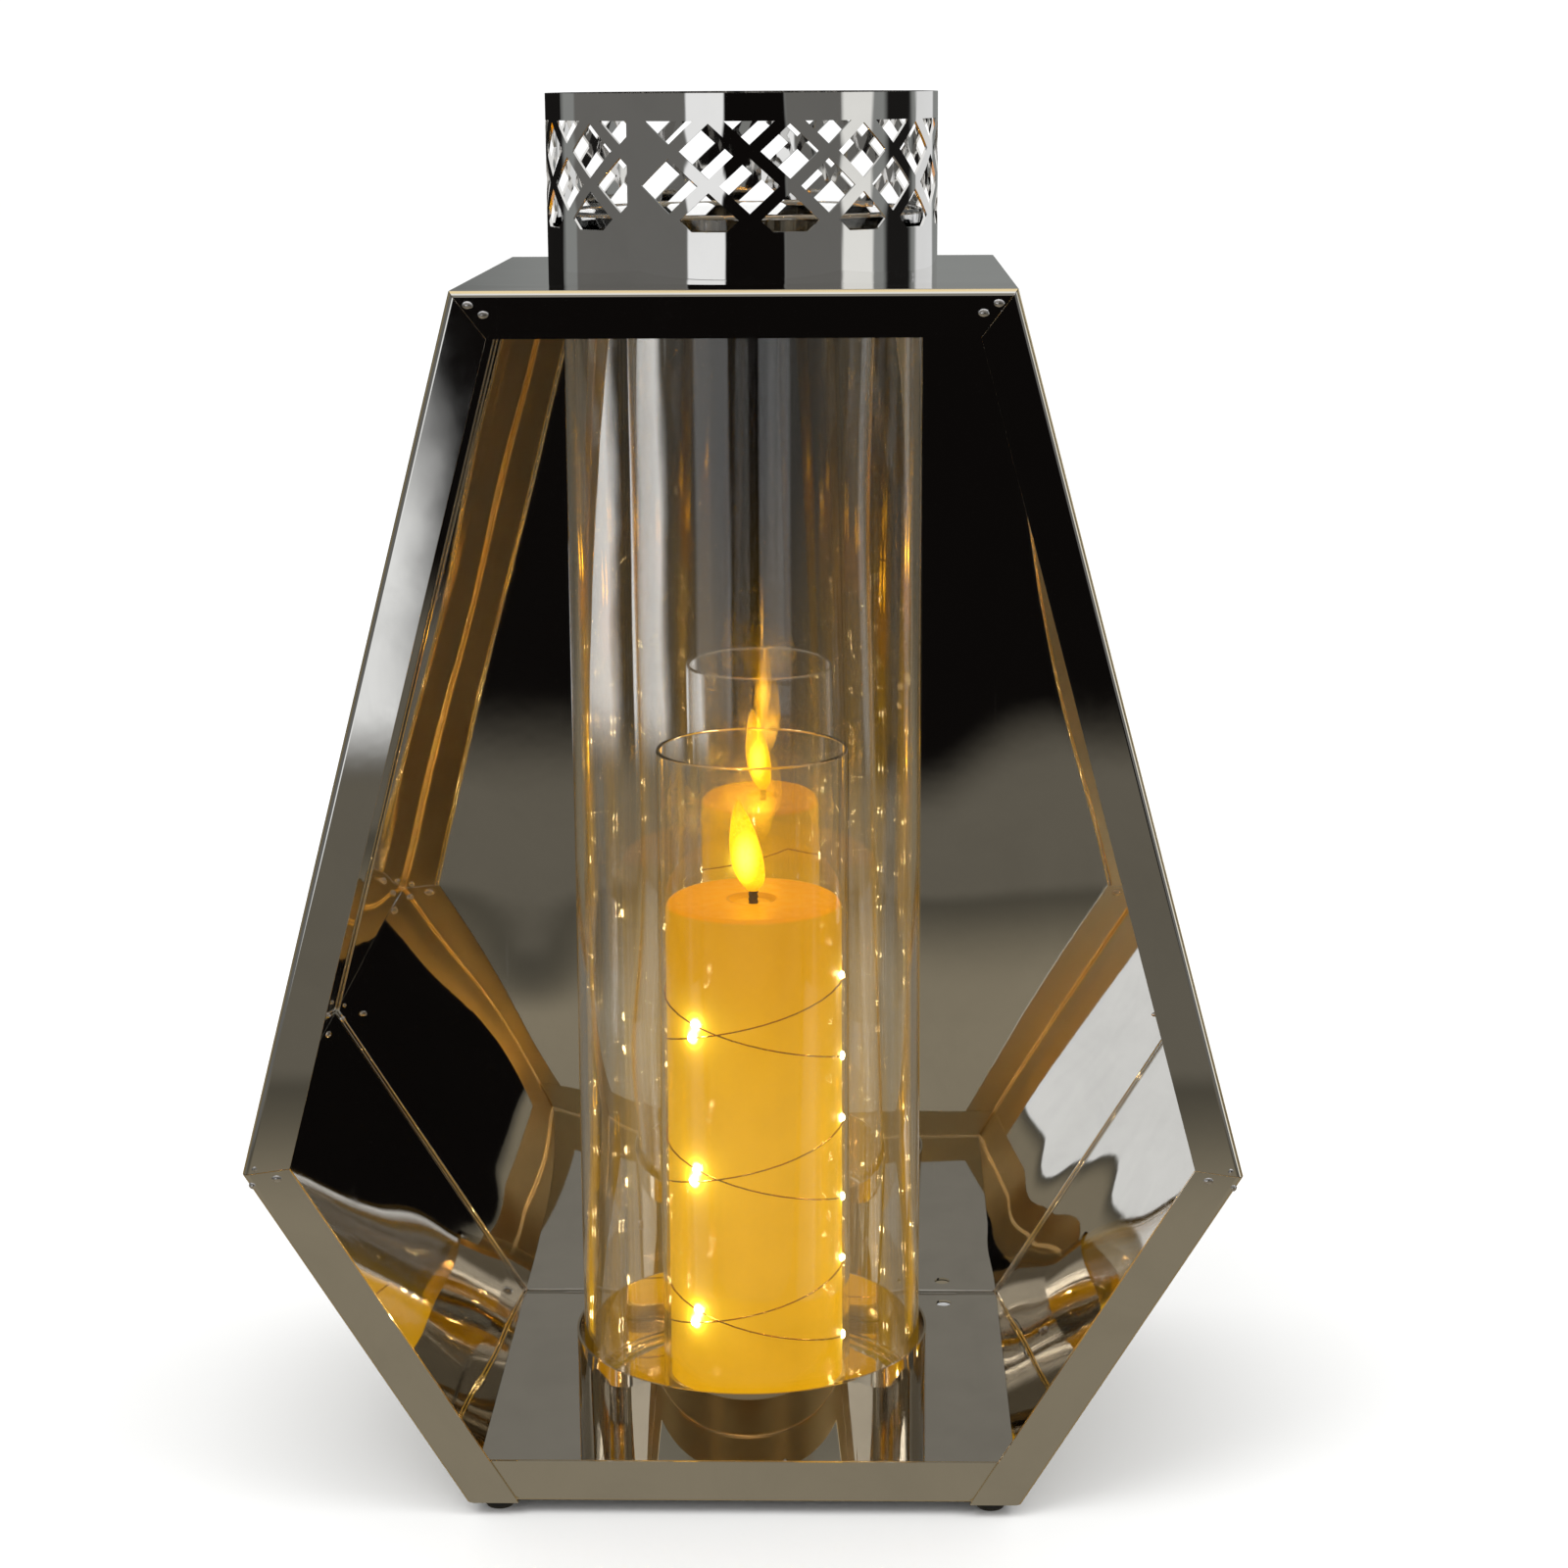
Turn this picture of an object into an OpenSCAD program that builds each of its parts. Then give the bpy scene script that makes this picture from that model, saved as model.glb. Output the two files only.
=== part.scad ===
// Candle lantern: a six-sided polished steel case with an open front, a pierced collar on its
// top plate, a glass tube standing in a ring, and a battery candle in its own clear cup.
// Millimetres. X runs to the right, Y to the back, Z up. The origin is on the surface that
// the lantern stands on, in the middle of the case.

/* [Case] */
// Width across the widest corners
mid_w = 245; // [235:1:255]
// Width of the top plate
top_w = 131; // [126:1:140]
// Width of the base plate
base_w = 139; // [130:1:150]
// Depth from the front lips to the rear lips
case_d = 140; // [134:1:150]
// Height of the case without its feet
case_h = 301; // [290:1:315]
// Height of the widest corners above the base
mid_h = 86.5; // [76:0.5:100]
// Thickness of the sheet steel
sheet_t = 0.8; // [0.6:0.1:1]
// Outside radius of the folds
fold_r = 1.6; // [1.3:0.1:2]
// Width of the lips folded round the front and the rear
lip_w = 11; // [9:0.5:12]
// Radius of the rolled hem on the upper front lips
hem_r = 0.7; // [0.6:0.05:0.8]
// Slit left where two lips meet
slit = 0.2; // [0.1:0.05:0.4]
// Where the tube and the collar stand, measured back from the middle
axis_y = -3; // [-6:0.5:3]
// Diameter of the drain hole in the base plate
drain_d = 4.4; // [3:0.2:6]

/* [Collar] */
// Outside diameter of the collar
collar_d = 97; // [96:0.5:102]
// Height of the collar
collar_h = 44; // [40:1:50]
// Thickness of the collar's strip
collar_t = 0.7; // [0.5:0.1:0.8]
// Diameter of the opening in the top plate
mouth_d = 93; // [92:0.5:94]
// Angle of the collar's seam, to the right of straight ahead
collar_seam = -32; // [-40:1:-30]
// Steps between the first and the last column of cut-outs
lattice_steps = 30; // [30:2:32]
// Half the width of a cut-out
cut_w = 7.1; // [6:0.1:7.4]
// Half the height of a cut-out
cut_h = 6.4; // [5.5:0.1:6.6]
// Height from one row of cut-outs to the next
row_step = 7.95; // [7.9:0.05:8.2]

/* [Glass tube and its ring] */
// Outside diameter of the glass tube
tube_d = 90; // [88:0.5:90]
// Wall of the glass tube
tube_wall = 2.2; // [1.8:0.1:3]
// Height of the glass tube
tube_h = 315.7; // [305:0.1:320]
// Outside diameter of the ring
ring_d = 94; // [94:0.5:96]
// Height of the ring
ring_h = 19.9; // [15:0.1:25]
// Thickness of the ring's strip
ring_t = 0.6; // [0.5:0.1:0.6]
// Angle of the ring's seam, to the right of straight ahead
ring_seam = 37; // [30:1:60]

/* [Candle] */
// Outside diameter of the candle's clear cup
cup_d = 51; // [50:0.5:52]
// Wall of the clear cup
cup_wall = 1.1; // [1:0.1:1.2]
// Height of the clear cup
cup_h = 176.4; // [170:0.2:185]
// How far right of the tube's middle the candle stands
candle_x = 1; // [-5:0.5:5]
// How far behind the tube's middle the candle stands
candle_dy = 10; // [0:0.5:10]
// Diameter of the wax pillar
wax_d = 47; // [46.5:0.1:47]
// Height of the wax above the cup's foot
wax_h = 135.7; // [130:0.1:145]
// Wall of the hollow wax pillar
wax_wall = 1.8; // [1.6:0.1:1.8]
// Length of the flame
flame_l = 25.4; // [20:0.2:28]
// Width of the flame
flame_w = 9.2; // [8:0.2:10]

/* [String of lights] */
// Diameter of the light wire
wire_d = 0.44; // [0.3:0.02:0.44]
// Drop of the wire in one turn
wire_pitch = 39.6; // [38:0.2:40]
// Turns of each strand
wire_turns = 3; // [2:1:3]
// Where the two strands meet at the top, to the right of straight ahead
wire_az = 158; // [150:1:170]
// Diameter of a light bead
bead_d = 1.5; // [1.2:0.1:1.6]
// Angle from one bead to the next along a strand
bead_step = 120; // [90:30:180]

/* [Battery case] */
// Diameter of a battery
cell_d = 14.2; // [14:0.1:14.4]
// Length of a battery with its nub
cell_l = 50.2; // [49.5:0.1:50.4]
// Angle that the battery door turns to unlock
door_turn = 45; // [40:1:60]
// Travel of the slide switch
switch_travel = 3; // [2:0.5:3]

/* [Feet] */
// Height of the rubber feet
foot_h = 3.5; // [2.5:0.1:5]
// Diameter of the rubber feet
foot_d = 8; // [7:0.5:10]
// How far the feet's middles are in from the base plate's edges
foot_in = 7.5; // [6:0.5:9]

/* [Hidden] */
$fn = 96;

// Colours
steel = [0.66, 0.64, 0.61];
bright_steel = [0.74, 0.73, 0.71];
clear_glass = [0.85, 0.9, 0.92, 0.35];
amber_wax = [0.93, 0.62, 0.12];
flame_yellow = [1, 0.86, 0.1];
lamp_yellow = [1, 0.95, 0.6];
wick_brown = [0.32, 0.15, 0.05];
wire_gold = [0.7, 0.5, 0.2];
rubber_black = [0.05, 0.05, 0.05];
plastic_ivory = [0.9, 0.87, 0.78];
board_green = [0.1, 0.35, 0.18];
chip_black = [0.08, 0.08, 0.09];
nickel = [0.78, 0.76, 0.7];
cell_grey = [0.45, 0.47, 0.5];

// Gaps
rest_gap = 0.3;        // under a piece that lifts out
skin_gap = 0.05;       // between two sheets that lie on each other
cutter = 200;          // longer than anything it cuts through in depth

// Heights above the surface
base_top = foot_h + sheet_t;
mid_z = foot_h + mid_h;
top_z = foot_h + case_h;
stand_z = base_top + rest_gap;

// Corners of the case seen from the front, going round from the bottom left
corners = [[-base_w / 2, foot_h], [base_w / 2, foot_h], [mid_w / 2, mid_z],
           [top_w / 2, top_z], [-top_w / 2, top_z], [-mid_w / 2, mid_z]];
BASE = 0;
LOWER_RIGHT = 1;
UPPER_RIGHT = 2;
TOP = 3;
front_y = -case_d / 2;
rear_y = case_d / 2;

// The unit vector along side i, its outward normal, and the vector that moves corner i
// when every side moves outward by 1
function along(i) = let (v = corners[(i + 1) % 6] - corners[i]) v / norm(v);
function outward(i) = let (v = along(i)) [v[1], -v[0]];
function spread(i) = let (a = outward((i + 5) % 6), b = outward(i)) (a + b) / (1 + a * b);
function inset(w) = [for (i = [0:5]) corners[i] - w * spread(i)];

// A figure drawn in X and Z, as a solid from y0 back to y1
module front_solid(y0, y1) {
    translate([0, y1, 0]) rotate([90, 0, 0]) linear_extrude(y1 - y0) children();
}

// ---- Folded sheet panels ----

// Outline of a channel with round folds: X is outward, with 0 at its outer face
module channel_outline(y0, y1, r, reach) {
    translate([-reach, y0]) square([reach - r, y1 - y0]);
    translate([-reach, y0 + r]) square([reach, y1 - y0 - 2 * r]);
    for (y = [y0 + r, y1 - r]) translate([-r, y]) circle(r);
}

// Section through a panel: its web, its two lips and the hem on its front lip
module channel_section(y0, y1, hemmed) {
    difference() {
        channel_outline(y0, y1, fold_r, lip_w);
        translate([-sheet_t, 0])
            channel_outline(y0 + sheet_t, y1 - sheet_t, fold_r - sheet_t, lip_w);
    }
    if (hemmed) translate([hem_r - lip_w, y0 + hem_r]) circle(hem_r);
}

// A panel along side i, longer than the side at both ends
module channel(i, y0, y1, hemmed) {
    start = corners[i] - 2 * lip_w * along(i);
    span = norm(corners[(i + 1) % 6] - corners[i]) + 4 * lip_w;
    n = outward(i);
    translate([start[0], 0, start[1]]) rotate([0, -atan2(n[1], n[0]), 0])
        linear_extrude(span) channel_section(y0, y1, hemmed);
}

// The front view of side i between the mitres at its two ends
module mitred_side(i) {
    j = (i + 1) % 6;
    step = along(i) * slit / 2;
    reach = lip_w + 3;
    polygon([corners[i] + 3 * spread(i) + step, corners[j] + 3 * spread(j) - step,
             corners[j] - reach * spread(j) - step, corners[i] - reach * spread(i) + step]);
}

// The same for a lower side, which runs down to the level of the base's underside
module lower_side() {
    j = UPPER_RIGHT;
    step = along(LOWER_RIGHT) * slit / 2;
    reach = lip_w + 3;
    foot = corners[LOWER_RIGHT];
    polygon([foot - [3 * reach, 0], foot + [reach, 0], corners[j] + 3 * spread(j) - step,
             corners[j] - reach * spread(j) - step]);
}

module mitred_panel(i, hemmed) {
    intersection() {
        channel(i, front_y, rear_y, hemmed);
        front_solid(front_y - 1, rear_y + 1) mitred_side(i);
    }
}

module lower_panel() {
    intersection() {
        channel(LOWER_RIGHT, front_y, rear_y, false);
        front_solid(front_y - 1, rear_y + 1) lower_side();
    }
}

module lower_right_panel() { color(steel) lower_panel(); }
module lower_left_panel() { color(steel) mirror([1, 0, 0]) lower_panel(); }
module upper_right_panel() { color(bright_steel) mitred_panel(UPPER_RIGHT, true); }
module upper_left_panel() {
    color(bright_steel) mirror([1, 0, 0]) mitred_panel(UPPER_RIGHT, true);
}

// The base stands between the lower panels. Its front flange is behind their front lips, and
// its rear flange ends at their rear lips. It is narrower where their folds are.
module base_plate() {
    flange_y = front_y + sheet_t + skin_gap;
    split_y = rear_y - sheet_t - skin_gap;
    fold_y = case_d / 2 - fold_r - skin_gap;
    color(steel) difference() {
        intersection() {
            channel(BASE, flange_y, rear_y, false);
            union() {
                front_solid(front_y, split_y) polygon(inset_sides(fold_r + skin_gap));
                front_solid(-fold_y, fold_y) polygon(inset_sides(sheet_t + skin_gap));
                front_solid(split_y - 0.01, rear_y + 1) polygon(inset_sides(lip_w + skin_gap));
            }
        }
        translate([base_w / 2 - 16, rear_y - 10, foot_h - 1]) cylinder(d = drain_d, h = 4);
    }
}

// The room between the two lower sides, w in from each, taken below the base too
function inset_sides(w) = let (p = inset(w), low = foot_h - 1, high = mid_z / 2)
    [for (q = [[-1, low], [1, low], [1, high], [-1, high]])
        [q[0] * side_x(p, q[1]), q[1]]];
// Where the lower right side of an inset outline is at height z
function side_x(p, z) = p[1][0] + (p[2][0] - p[1][0]) * (z - p[1][1]) / (p[2][1] - p[1][1]);

module top_plate() {
    color(bright_steel) difference() {
        mitred_panel(TOP, true);
        translate([0, axis_y, top_z - 5]) cylinder(d = mouth_d, h = 10);
    }
}

// The back lies against the rear lips from the inside
module back_panel() {
    color(bright_steel) front_solid(rear_y - 2 * sheet_t, rear_y - sheet_t)
        polygon(inset(fold_r + 2 * skin_gap));
}

// ---- Rolled strips: the collar and the ring ----

// A wedge of the plan from angle a0 round to a1
module wedge(a0, a1, r) {
    steps = ceil((a1 - a0) / 45);
    polygon(concat([[0, 0]], [for (k = [0:steps])
        let (a = a0 + (a1 - a0) * k / steps) 2 * r * [cos(a), sin(a)]]));
}

module band(r, t, a0, a1) {
    intersection() {
        difference() {
            circle(r);
            circle(r - t);
        }
        wedge(a0, a1, r);
    }
}

// The seam's outer end is at angle 0. The strip runs round from there, and its last stretch
// bends inward on a tighter arc and ends under the first.
dive = 30;             // how far before the seam the strip starts to bend inward
function dive_r(r, t) = r - (t + skin_gap) / (1 - cos(dive));

module strip_outer(r, t) { band(r, t, 0, 360 - dive); }

module strip_inner(r, t, lap) {
    tight = dive_r(r, t);
    rotate(-dive) translate([r - tight, 0]) band(tight, t, 0, (dive + lap) * r / tight);
}

// ---- Collar ----

collar_r = collar_d / 2;
collar_lap = 4.5;      // degrees of strip hidden under the seam
first_col = 13.2;      // from the seam to the first column of cut-outs
last_col = 360 - 3.1;  // from the seam round to the last column
row_a = top_z + 38.6;  // level of the highest row's middle
cut_top = top_z + 37.6;
cut_bottom = top_z + 12.1;

function column_angle(k) = first_col + (last_col - first_col) * k / lattice_steps;

// One cut-out in row 0 (the highest) to row 3, kept between the plain edges
module cut_out(row) {
    z = row_a - row * row_step;
    lo = max(z - cut_h, cut_bottom);
    hi = min(z + cut_h, cut_top);
    w_lo = cut_w * (1 - abs(lo - z) / cut_h);
    w_hi = cut_w * (1 - abs(hi - z) / cut_h);
    polygon([[-w_lo - 0.01, lo], [w_lo + 0.01, lo], [cut_w, min(z, hi)],
             [w_hi + 0.01, hi], [-w_hi - 0.01, hi], [-cut_w, min(z, hi)]]);
}

// The highest row is only the lower tips of its diamonds
module top_tip() {
    half = cut_w * (1 - (row_a - cut_top) / cut_h);
    polygon([[-half, cut_top], [0, row_a - cut_h], [half, cut_top]]);
}

module column(k) {
    rows = k % 2 == 0 ? [0, 2] : [1, 3];
    rotate(column_angle(k)) for (row = rows)
        translate([collar_r - 9, 0, 0]) rotate([90, 0, 90]) linear_extrude(14)
            if (row == 0) top_tip(); else cut_out(row);
}

module collar() {
    color(bright_steel) translate([0, axis_y, 0]) rotate(collar_seam - 90) {
        difference() {
            translate([0, 0, top_z]) linear_extrude(collar_h) strip_outer(collar_r, collar_t);
            for (k = [0:lattice_steps - 1]) column(k);
        }
        difference() {
            translate([0, 0, top_z]) linear_extrude(collar_h)
                strip_inner(collar_r, collar_t, collar_lap);
            for (k = [lattice_steps - 3:lattice_steps]) column(k);
        }
    }
}

// ---- Ring that the glass tube stands in ----

ring_r = ring_d / 2;
ring_lap = 7;          // degrees of strip hidden under the seam

module tube_ring() {
    color(bright_steel) translate([0, axis_y, base_top]) rotate(ring_seam - 90)
        mirror([0, 1, 0]) linear_extrude(ring_h) {
            strip_outer(ring_r, ring_t);
            strip_inner(ring_r, ring_t, ring_lap);
        }
}

// ---- Weld beads ----

tack_r = 1.1;
bead_out = 0.35;       // how far a bead stands out of the lips

// Tacks round the foot of a strip, in the corner between the strip and the plate it stands on
module foot_tacks(r, z, angles) {
    for (a = angles) rotate(a - 90) translate([r, 0, z + 0.5]) sphere(tack_r, $fn = 24);
}

module weld_beads() {
    color(steel) {
        for (side = [-1, 1]) for (face = [-1, 1]) {
            y = face * (case_d / 2 + bead_out - tack_r);
            for (p = [[-3.2, 1.6], [-2.6, -2.6], [-8.6, -0.8]])
                translate([side * (mid_w / 2 + p[0]), y, mid_z + p[1]]) sphere(tack_r, $fn = 24);
            for (p = [[-4.5, -3.2], [-8, -5.4]])
                translate([side * (top_w / 2 + p[0]), y, top_z + p[1]]) sphere(tack_r, $fn = 24);
        }
        translate([0, axis_y, 0]) {
            foot_tacks(ring_r + 0.3, base_top, [12, 130, 250]);
            foot_tacks(collar_r - collar_t - 0.2, top_z, [60, 150, 240]);
        }
    }
}

// ---- Feet ----

module foot(sx, sy) {
    x = base_w / 2 - foot_in;
    y = case_d / 2 - foot_in;
    color(rubber_black) translate([sx * x, sy * y, 0]) {
        cylinder(d1 = foot_d - 1.2, d2 = foot_d, h = 1);
        translate([0, 0, 1]) cylinder(d = foot_d, h = foot_h - 1);
    }
}

// ---- Glass tube ----

module glass_tube() {
    r_mid = (tube_d - tube_wall) / 2;
    color(clear_glass) translate([0, axis_y, stand_z]) rotate_extrude() {
        translate([tube_d / 2 - tube_wall, tube_wall / 2])
            square([tube_wall, tube_h - tube_wall]);
        for (z = [tube_wall / 2, tube_h - tube_wall / 2]) translate([r_mid, z])
            circle(d = tube_wall, $fn = 32);
    }
}

// ---- Candle ----

candle_y = axis_y + candle_dy;
cup_in_r = cup_d / 2 - cup_wall;
wax_r = wax_d / 2;
plate_lo = 0.8;        // underside of the candle's base above the cup's foot
plate_hi = 3.8;        // its upper face, where the wax stands

module at_candle(z = 0) {
    translate([candle_x, candle_y, stand_z + z]) children();
}

module candle_cup() {
    r_mid = cup_d / 2 - cup_wall / 2;
    color(clear_glass) at_candle() rotate_extrude() {
        translate([cup_in_r, 0]) square([cup_wall, cup_h - cup_wall / 2]);
        translate([r_mid, cup_h - cup_wall / 2]) circle(d = cup_wall, $fn = 32);
    }
}

wax_round = 2;         // rounding of the wax's upper edge
dimple_d = 12;         // dimple round the wick
dimple_h = 1.2;
wick_d = 2.7;
wax_roof = 4;          // wax left above the hollow

module wax_pillar() {
    inner = wax_r - wax_wall;
    color(amber_wax) at_candle() difference() {
        rotate_extrude() {
            translate([0, plate_hi]) square([wax_r, wax_h - plate_hi - wax_round]);
            translate([0, plate_hi]) square([wax_r - wax_round, wax_h - plate_hi]);
            translate([wax_r - wax_round, wax_h - wax_round]) circle(wax_round, $fn = 48);
        }
        translate([0, 0, plate_hi - 1]) cylinder(r = inner, h = wax_h - wax_roof - plate_hi + 1);
        translate([0, 0, wax_h - dimple_h]) cylinder(d = dimple_d, h = 5);
        cylinder(d = wick_d + 0.2, h = cutter);
    }
}

flame_z = wax_h + 1.9; // foot of the flame above the cup's foot
lead_r = 0.3;

module wick() {
    z0 = wax_h - wax_roof;
    color(wick_brown) at_candle(z0) difference() {
        cylinder(d = wick_d, h = flame_z - z0);
        translate([0, 0, -1]) cylinder(d = wick_d - 0.8, h = cutter);
    }
}

// Middle of the flame at height s of its length, leaning left towards the tip, and its radius
function flame_lean(s) = -3.4 * s * s - 0.3 * s;
function flame_r(s) = flame_w / 2 * (s < 0.3 ? 1 - 0.9 * pow(0.3 - s, 1.4)
                                             : 1 - 1.25 * pow(s - 0.3, 1.7));

// Round beads one above the other, with a skin stretched round them
module flame_shape(shrink) {
    hull() for (s = [0.14, 0.3, 0.45, 0.6, 0.75, 0.9])
        translate([flame_lean(s), 0, s * flame_l]) scale([1, 0.72, 1])
            sphere(min(flame_r(s), s * flame_l, (1.03 - s) * flame_l * 0.6) - shrink, $fn = 24);
}

module flame_bulb() {
    color(flame_yellow) at_candle(flame_z) difference() {
        flame_shape(0);
        flame_shape(0.6);
        translate([0, 0, -1]) cylinder(d = wick_d - 0.8, h = 5, $fn = 24);
    }
}

led_z = 6.5;           // seat of the lamp above the flame's foot

module flame_led() {
    color(lamp_yellow) at_candle(flame_z + led_z) {
        cylinder(r = 1.4, h = 2);
        translate([0, 0, 2]) sphere(1.4, $fn = 32);
    }
}

board_z = 64;
board_t = 1.2;

module flame_leads() {
    z0 = board_z + board_t;
    color(nickel) for (x = [-0.5, 0.5]) at_candle(z0) translate([x, 0, 0])
        cylinder(r = lead_r, h = flame_z + led_z - z0, $fn = 16);
}

// ---- String of lights ----

wire_r = wire_d / 2;
wire_path_r = wax_r + 0.48;
wire_top = 124.5;      // where the strands meet, above the cup's foot
wire_low = wire_top - wire_turns * wire_pitch;

// A point of a strand after a degrees; dir is 1 or -1 for the way it winds
function strand_point(dir, a, r) = let (t = wire_az - 90 + dir * a)
    [r * cos(t), r * sin(t), wire_top - wire_pitch * a / 360];
function strand(dir) = [for (a = [0:10:360 * wire_turns]) strand_point(dir, a, wire_path_r)];
// The strands' shared tail, down to the base
function tail() = let (e = strand_point(1, 360 * wire_turns, wire_path_r))
    [[e[0], e[1], wire_low + wire_r], [e[0], e[1], plate_hi]];

// A round tube along points that wind about the Z axis
module tube_along(points, r, sides) {
    last = len(points) - 1;
    rings = [for (i = [0:last])
        let (p = points[i],
             out = [p[0], p[1], 0] / norm([p[0], p[1]]),
             go = points[min(i + 1, last)] - points[max(i - 1, 0)],
             side = cross(out, go) / norm(cross(out, go)),
             up = cross(side, go) / norm(cross(side, go)))
            for (k = [0:sides - 1])
                p + r * (cos(360 * k / sides) * side + sin(360 * k / sides) * up)];
    skin = [for (i = [0:last - 1]) for (k = [0:sides - 1])
        let (n = (k + 1) % sides)
            [i * sides + k, i * sides + n, (i + 1) * sides + n, (i + 1) * sides + k]];
    caps = [[for (k = [sides - 1:-1:0]) k], [for (k = [0:sides - 1]) last * sides + k]];
    polyhedron(rings, concat(skin, caps));
}

module light_wire() {
    color(wire_gold) at_candle() {
        tube_along(strand(1), wire_r, 6);
        tube_along(strand(-1), wire_r, 6);
        tube_along(tail(), wire_r, 6);
    }
}

// The first bead of each strand, in degrees down the strand from where they meet
first_bead = [[-1, 79], [1, 44]];

module light_beads() {
    color(lamp_yellow) at_candle() for (f = first_bead)
        for (a = [f[1]:bead_step:360 * wire_turns - 10])
            translate(strand_point(f[0], a, cup_in_r - bead_d / 2 - 0.05))
                sphere(d = bead_d, $fn = 24);
}

// ---- Battery case and its works ----

bay_r = 16.2;          // hollow that the batteries stand in
bay_wall = 1.4;
bay_top = 58.8;        // ceiling of the hollow
step_z = 53.6;         // lower ceiling over the left battery
cell_x = 7.3;
cell_z = 2.7;
nub_h = 1.2;
ledge_r = 14.9;        // the door's ledges reach in to here
ledge_lo = 1;
ledge_hi = 2;
switch_y = -19.6;
knob_w = 3.2;
knob_d = 2.4;

// The sector between two circles, as a solid
module ring_sector(r0, r1, a0, a1, z0, z1) {
    translate([0, 0, z0]) linear_extrude(z1 - z0) intersection() {
        difference() {
            circle(r1);
            circle(r0);
        }
        wedge(a0, a1, r1);
    }
}

module battery_case() {
    slot_w = knob_w + switch_travel + 0.4;
    color(plastic_ivory) at_candle() {
        difference() {
            union() {
                translate([0, 0, plate_lo])
                    cylinder(r = cup_in_r - 0.1, h = plate_hi - plate_lo);
                translate([0, 0, plate_hi])
                    cylinder(r = bay_r + bay_wall, h = bay_top + bay_wall - plate_hi);
            }
            translate([0, 0, plate_lo - 1]) cylinder(r = bay_r, h = bay_top - plate_lo + 1);
            translate([-slot_w / 2, switch_y - knob_d / 2 - 0.2, 0])
                cube([slot_w, knob_d + 0.4, 6]);
        }
        for (a = [0, 180]) ring_sector(ledge_r, bay_r + 0.5, a - 25, a + 25, ledge_lo, ledge_hi);
        intersection() {
            translate([0, 0, step_z]) cylinder(r = bay_r + 0.5, h = bay_top - step_z + 0.5);
            translate([-bay_r - 1, -bay_r - 1, 0]) cube([bay_r, 2 * bay_r + 2, bay_top + 1]);
        }
        for (a = [90, 210, 330]) rotate(a) translate([13, 0, bay_top + bay_wall])
            cylinder(r = 1.6, h = board_z - bay_top - bay_wall);
    }
}

module cell(x, upright) {
    at_candle(cell_z) translate([x, 0, upright ? 0 : cell_l])
        mirror([0, 0, upright ? 0 : 1]) {
            cylinder(d = cell_d, h = cell_l - nub_h);
            translate([0, 0, cell_l - nub_h]) cylinder(r = 2.7, h = nub_h);
        }
}

module battery_left() { color(cell_grey) cell(-cell_x, true); }
module battery_right() { color(cell_grey) cell(cell_x, false); }

module battery_contact() {
    color(nickel) at_candle() {
        translate([-cell_x - 4, -4, step_z - 0.4]) cube([8, 8, 0.4]);
        translate([cell_x - 4, -4, bay_top - 0.4]) cube([8, 8, 0.4]);
    }
}

// The spring that presses on the right battery, with a flat coil at each end
spring_turns = 4;
spring_wire = 0.35;
spring_r = 3;

module battery_spring() {
    z0 = cell_z + cell_l + spring_wire + 0.05;
    rise = bay_top - 0.4 - spring_wire - 0.05 - z0;
    coil = [for (a = [0:24:360 * spring_turns])
        [spring_r * cos(a), spring_r * sin(a),
         rise * min(1, max(0, (a - 180) / (360 * spring_turns - 360)))]];
    color(nickel) at_candle(z0) translate([cell_x, 0, 0]) tube_along(coil, spring_wire, 6);
}

module battery_door() {
    color(plastic_ivory) at_candle() difference() {
        union() {
            translate([0, 0, 0.9]) cylinder(r = ledge_r - 0.2, h = 1.5);
            for (a = [0, 180])
                ring_sector(ledge_r - 1, bay_r - 0.2, a - 15, a + 15, ledge_hi + 0.1, 2.4);
        }
        translate([-7, -0.9, 0]) cube([14, 1.8, 1.6]);
    }
}

module door_contact() {
    color(nickel) at_candle(2.4) cylinder(r = 12, h = 0.25);
}

module switch_body() {
    color(chip_black) at_candle() difference() {
        translate([-3.5, switch_y - 1.6, plate_hi]) cube([7, 3.2, 3.2]);
        translate([-2.7, switch_y - 0.8, plate_hi - 1]) cube([5.4, 1.6, 2.3]);
    }
}

module switch_knob() {
    x = switch_travel / 2;
    color(chip_black) at_candle() {
        translate([x - knob_w / 2, switch_y - knob_d / 2, 1])
            cube([knob_w, knob_d, plate_hi - 1.1]);
        translate([x - 0.6, switch_y - 0.6, plate_hi - 0.1]) cube([1.2, 1.2, 1.1]);
    }
}

module circuit_board() {
    color(board_green) at_candle(board_z) cylinder(r = 18, h = board_t);
}

module driver_chip() {
    color(chip_black) at_candle(board_z + board_t) translate([4, 3, 0]) cube([6, 5, 1.6]);
}

module capacitor() {
    color(cell_grey) at_candle(board_z + board_t) translate([-8, -5, 0]) cylinder(r = 2.5, h = 7);
}

base_plate();
lower_left_panel();
lower_right_panel();
upper_left_panel();
upper_right_panel();
top_plate();
back_panel();
collar();
tube_ring();
weld_beads();
foot(-1, -1);  // foot_front_left
foot(1, -1);  // foot_front_right
foot(-1, 1);  // foot_back_left
foot(1, 1);  // foot_back_right
glass_tube();
candle_cup();
wax_pillar();
wick();
flame_bulb();
flame_led();
flame_leads();
light_wire();
light_beads();
circuit_board();
driver_chip();
capacitor();
battery_case();
battery_left();
battery_right();
battery_spring();
battery_contact();
battery_door();
door_contact();
switch_body();
switch_knob();
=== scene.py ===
"""Candle lantern: polished steel case, glass tube and battery candle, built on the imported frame."""

import math

import bmesh
import bpy
from mathutils import Matrix, Vector, noise


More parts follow.
